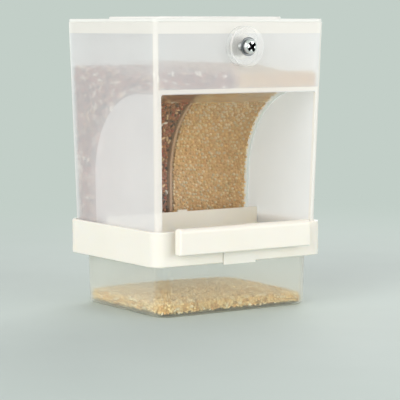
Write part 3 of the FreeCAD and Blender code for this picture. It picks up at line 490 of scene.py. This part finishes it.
def heap(node_name, body, tree, core_material, spacing_mm, depth_mm, tumble, seed):
    """Dresses a CAD fill: a shaded core a little inside its surface, and grains over it."""
    base = add_object(f"{node_name}_base", welded_mesh(node_name))
    modifier = base.modifiers.new("grains", "NODES")
    modifier.node_group = tree
    set_inputs(modifier, {"Spacing": spacing_mm * MM, "Depth": depth_mm * MM, "Tumble": tumble, "Seed": seed})
    grains = add_object(f"{node_name}_grains", evaluated_mesh(base))
    base.modifiers.remove(modifier)
    core_mesh = base.data
    work = bmesh.new()
    work.from_mesh(core_mesh)
    work.normal_update()
    for corner in work.verts:
        corner.co -= corner.normal * (depth_mm + CORE_INSET_MM) * MM
    work.to_mesh(core_mesh)
    work.free()
    core_mesh.materials.append(core_material)
    base.name = f"{node_name}_core"
    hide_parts(node_name)
    for piece in (base, grains):
        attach(piece, body)


def assign(material, *node_names):
    for node_name in node_names:
        mesh = nodes[node_name].data
        mesh.materials.clear()
        mesh.materials.append(material)


# Moulded pieces

hopper_plastic = natural_polypropylene(
    "frosted_polypropylene_hopper", "#F7F7F8", "#FBFBFC", milk=0.63, edge_milk=0.76, through=0.36,
    clear=0.65, blur_roughness=0.4, gloss_roughness=0.35, regions=hopper_regions)
lid_plastic = natural_polypropylene(
    "frosted_polypropylene_lid", "#F3F2EC", "#F6F5F0", milk=0.9, edge_milk=0.96, through=0.15,
    clear=0.0, blur_roughness=0.6, gloss_roughness=0.35)
divider_plastic = natural_polypropylene(
    "frosted_polypropylene_divider", "#E2B890", "#EAC49E", milk=0.75, edge_milk=0.8, through=0.1,
    clear=0.6, blur_roughness=0.5, gloss_roughness=0.3)
box_plastic = natural_polypropylene(
    "clear_polypropylene_box", "#EDF0E6", "#F2F4EC", milk=0.05, edge_milk=0.85, through=0.5,
    clear=0.66, blur_roughness=0.6, gloss_roughness=0.14, regions=box_regions)
disc_plastic = natural_polypropylene(
    "clear_vinyl_disc", "#F7F9F9", "#FCFDFD", milk=0.03, edge_milk=0.2, through=0.3,
    clear=1.0, blur_roughness=0.1, gloss_roughness=0.3, regions=disc_regions)
tray_plastic = opaque_polypropylene("cream_polypropylene", "#F2EDE0", "#F4F0E5")
bright_steel = plated_steel("nickel_plated_steel", "#F2F2F2", roughness=0.26, scratch_mm=0.5)
# The cross recess's faces are steel painted near black: painted shade inside the recess, not the plating's
# colour
recess_shade_paint = plated_steel("painted_recess_shade", "#1E1E20", roughness=0.4, scratch_mm=0.5)
# The washer's steel is painted darker than zinc plating: partly the plating's grey, partly painted shade
washer_steel_and_shade = plated_steel("zinc_steel_and_painted_shade", "#707274", roughness=0.34, scratch_mm=0.7)
shank_steel = plated_steel("zinc_plated_shank", "#DADADA", roughness=0.6, scratch_mm=0.7)
backing_steel = white_coat("white_coated_steel", "#F4F3EF", "#FAF9F6")

assign(hopper_plastic, "hopper")
assign(lid_plastic, "lid")
assign(divider_plastic, "hopper_divider")
assign(tray_plastic, "feed_tray", "perch")
assign(box_plastic, "catch_box")
assign(disc_plastic, "inner_clamp_disc", "outer_clamp_disc")
assign(washer_steel_and_shade, "steel_washer")
assign(backing_steel, "backing_washer", "clamp_nut")

# Clamp screw

def lathe(work, profile, sides):
    """Closed shell from (radius, height) steps, bottom to top."""
    bottom = work.verts.new((0.0, 0.0, profile[0][1]))
    rings = []
    for radius, height in profile:
        rings.append([work.verts.new((radius * math.cos(math.tau * side / sides),
                                      radius * math.sin(math.tau * side / sides), height))
                      for side in range(sides)])
    top = work.verts.new((0.0, 0.0, profile[-1][1]))
    for side in range(sides):
        after = (side + 1) % sides
        work.faces.new((bottom, rings[0][after], rings[0][side]))
        work.faces.new((top, rings[-1][side], rings[-1][after]))
        for low, high in zip(rings, rings[1:]):
            work.faces.new((low[side], low[after], high[after], high[side]))


def thread(work, low, high, sides, rows_per_turn):
    """Closed shell of the screw's shank, with its thread and a tapered lead at its low end."""
    rows = round((high - low) / THREAD_PITCH * rows_per_turn)
    rings = []
    for row in range(rows + 1):
        height = low + (high - low) * row / rows
        lead = min(1.0, LEAD_TIP + (1 - LEAD_TIP) * (height - low) / LEAD_LENGTH)
        ring = []
        for side in range(sides):
            turn = math.tau * side / sides
            ridge = 1 - abs(2 * ((height / THREAD_PITCH - side / sides) % 1) - 1)
            reach = lead * (THREAD_RADIUS - THREAD_DEPTH * (1 - ridge))
            ring.append(work.verts.new((reach * math.cos(turn), reach * math.sin(turn), height)))
        rings.append(ring)
    for side in range(sides):
        after = (side + 1) % sides
        for lower, upper in zip(rings, rings[1:]):
            work.faces.new((lower[side], lower[after], upper[after], upper[side]))
    work.faces.new(list(reversed(rings[0])))
    work.faces.new(rings[-1])


def cross_cutter():
    """Tapered cross that cuts the driver recess. The faces it cuts take the recess's steel, which is painted
    near black: painted shade inside the recess.
    """
    work = bmesh.new()
    rings = []
    for height, reach, half in RECESS_ENDS:
        ring = []
        for quarter in range(4):
            turn = Matrix.Rotation(math.tau * (quarter / 4 + RECESS_TURN), 3, "Z")
            for x, y in ((half, -half), (reach, -half), (reach, half)):
                ring.append(work.verts.new(turn @ Vector((x * MM, y * MM, HEAD_TOP + height * MM))))
        rings.append(ring)
    count = len(rings[0])
    for place in range(count):
        after = (place + 1) % count
        work.faces.new((rings[0][place], rings[1][place], rings[1][after], rings[0][after]))
    work.faces.new(rings[0])
    work.faces.new(list(reversed(rings[1])))
    bmesh.ops.recalc_face_normals(work, faces=work.faces)
    mesh = bpy.data.meshes.new("cross_cutter")
    work.to_mesh(mesh)
    work.free()
    return mesh


def edge_sharpness(mesh, degrees):
    """Smooth faces, with the edges sharper than this angle kept crisp."""
    work = bmesh.new()
    work.from_mesh(mesh)
    for face in work.faces:
        face.smooth = True
    for edge in work.edges:
        edge.smooth = edge.calc_face_angle(0.0) < math.radians(degrees)
    work.to_mesh(mesh)
    work.free()


def build_screw():
    """Pan-head screw with a cross recess, laid along the clamp's axis."""
    work = bmesh.new()
    lathe(work, [(radius * MM, HEAD_BASE + height * MM) for radius, height in PAN_HEAD], sides=48)
    head = bpy.data.meshes.new("screw_head")
    work.to_mesh(head)
    work.free()
    head.materials.append(bright_steel)
    cutter_mesh = cross_cutter()
    cutter_mesh.materials.append(recess_shade_paint)
    blank = add_object("screw_blank", head)
    cutter = add_object("screw_cutter", cutter_mesh)
    cut = blank.modifiers.new("recess", "BOOLEAN")
    cut.object, cut.operation, cut.solver = cutter, "DIFFERENCE", "EXACT"
    cut.material_mode = "TRANSFER"
    mesh = evaluated_mesh(blank)
    for helper in (blank, cutter):
        bpy.data.objects.remove(helper)
    work = bmesh.new()
    work.from_mesh(mesh)
    cut_faces = len(work.faces)
    thread(work, SHANK_END, HEAD_BASE + HEAD_OVERLAP, sides=24, rows_per_turn=6)
    work.faces.ensure_lookup_table()
    for face in work.faces[cut_faces:]:
        face.material_index = len(mesh.materials)
    work.to_mesh(mesh)
    work.free()
    mesh.materials.append(shank_steel)
    edge_sharpness(mesh, 32.0)
    wall = Vector((0.0, -(HOPPER_HALF_DEPTH - (HOPPER_RIM - CLAMP_HEIGHT) * HOPPER_DRAFT), CLAMP_HEIGHT))
    axis = Vector((0.0, -1.0, -HOPPER_DRAFT)).normalized()
    mesh.transform(Matrix.Translation(wall) @ axis.to_track_quat("Z", "X").to_matrix().to_4x4())
    screw = add_object("cross_head_screw", mesh)
    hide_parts("clamp_screw")
    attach(screw, "clamp_screw")


build_screw()

# Seed and husks

mixed_depths = seed_depths("mixed_seed_depths", "#8E5A42", "#A87454", size_mm=2.4)
millet_depths = seed_depths("millet_depths", "#DEB074", "#EEC890", size_mm=2.0)
husk_depths = seed_depths("husk_depths", "#D8AE6C", "#EFD094", size_mm=2.2)
mixed_tree = grain_tree("mixed_grains", MIXED_KINDS, dry_seed("mixed_seed_coat", MIXED_KINDS))
millet_tree = grain_tree("millet_grains", MILLET_KINDS, dry_seed("millet_seed_coat", MILLET_KINDS))
husk_tree = grain_tree("husk_grains", HUSK_KINDS, dry_seed("husk_coat", HUSK_KINDS))

heap("mixed_seed", "hopper", mixed_tree, mixed_depths,
     spacing_mm=2.2, depth_mm=1.1, tumble=0.5, seed=11)
heap("millet_seed", "hopper", millet_tree, millet_depths,
     spacing_mm=2.05, depth_mm=1.0, tumble=0.5, seed=12)
heap("trough_mixed_seed", "feed_tray", mixed_tree, mixed_depths,
     spacing_mm=2.2, depth_mm=1.1, tumble=0.5, seed=13)
heap("trough_millet_seed", "feed_tray", millet_tree, millet_depths,
     spacing_mm=1.8, depth_mm=1.0, tumble=0.5, seed=14)
heap("husk_layer", "catch_box", husk_tree, husk_depths,
     spacing_mm=1.9, depth_mm=0.9, tumble=0.7, seed=15)

# Studio

def seen_rays(tree):
    """1 for the camera's rays and for those that glossy and clear surfaces send on."""
    rays = add_node(tree, "ShaderNodeLightPath").outputs
    seen = rays["Is Camera Ray"]
    for kind in ("Is Glossy Ray", "Is Transmission Ray"):
        seen = add_node(tree, "ShaderNodeMath", {0: seen, 1: rays[kind]}, operation="MAXIMUM")
    return seen


def pale_floor():
    """Smooth painted board, pale and even. Away from the feeder it fades into the backdrop's colour for
    the camera and for reflections, so that no edge of it shows."""
    material, tree, place = new_material("pale_painted_floor")
    mottle = add_node(tree, "ShaderNodeTexNoise", {"Vector": place, "Scale": 1 / (60.0 * MM)})
    board = add_node(tree, "ShaderNodeBsdfPrincipled", {
        "Base Color": two_shades(tree, mottle, "#C8D3CD", "#CAD5CF"),
        "Roughness": 0.7,
        "Specular IOR Level": 0.2,
    })
    away = add_node(tree, "ShaderNodeVectorMath", {0: place}, operation="LENGTH").outputs["Value"]
    fade = add_node(tree, "ShaderNodeMapRange", {
        "Value": away, "From Min": FADE_START, "From Max": FADE_END,
    }, interpolation_type="SMOOTHSTEP")
    backdrop = add_node(tree, "ShaderNodeEmission", {"Color": linear(BACKDROP), "Strength": 1.0})
    seen = add_node(tree, "ShaderNodeMath", {0: fade, 1: seen_rays(tree)}, operation="MULTIPLY")
    mixed = add_node(tree, "ShaderNodeMixShader", {"Fac": seen, 1: board, 2: backdrop})
    add_node(tree, "ShaderNodeOutputMaterial", {"Surface": mixed})
    return material


def build_floor():
    mesh = bpy.data.meshes.new("floor")
    work = bmesh.new()
    bmesh.ops.create_circle(work, cap_ends=True, segments=96, radius=6.0)
    work.to_mesh(mesh)
    work.free()
    floor = add_object("floor", mesh)
    mesh.materials.append(pale_floor())


def light_world():
    world = bpy.data.worlds.new("studio")
    bpy.context.scene.world = world
    world.use_nodes = True
    tree = world.node_tree
    tree.nodes.clear()
    lighting = add_node(tree, "ShaderNodeBackground", {"Color": linear("#F8F4F8"), "Strength": 0.5})
    seen = add_node(tree, "ShaderNodeBackground", {"Color": linear(BACKDROP), "Strength": 1.0})
    mixed = add_node(tree, "ShaderNodeMixShader", {"Fac": seen_rays(tree), 1: lighting, 2: seen})
    add_node(tree, "ShaderNodeOutputWorld", {"Surface": mixed})


def add_lamp(name, place, target, size, power):
    lamp = bpy.data.lights.new(name, "AREA")
    lamp.shape = "DISK"
    lamp.size = size
    lamp.energy = power
    holder = add_object(name, lamp)
    holder.location = place
    holder.rotation_euler = (Vector(target) - Vector(place)).to_track_quat("-Z", "Y").to_euler()


def add_camera():
    camera = bpy.data.cameras.new("camera")
    camera.lens = CAMERA_LENS
    camera.sensor_width = 36.0
    camera.clip_start, camera.clip_end = 0.05, 20.0
    holder = add_object("camera", camera)
    holder.location = CAMERA_PLACE
    holder.rotation_euler = (CAMERA_TILT, 0.0, CAMERA_TURN)
    bpy.context.scene.camera = holder


build_floor()
light_world()
add_lamp("key", (-2.2, -0.9, 0.95), (0, 0, 0.1), size=2.4, power=49.5)
add_lamp("front", (0.95, -1.8, 0.25), (0, 0, 0.1), size=1.5, power=22.0)
add_lamp("back", (1.7, 1.3, 1.0), (0, 0, 0.12), size=2.0, power=24.0)
add_camera()
bpy.context.scene.view_settings.view_transform = "Standard"
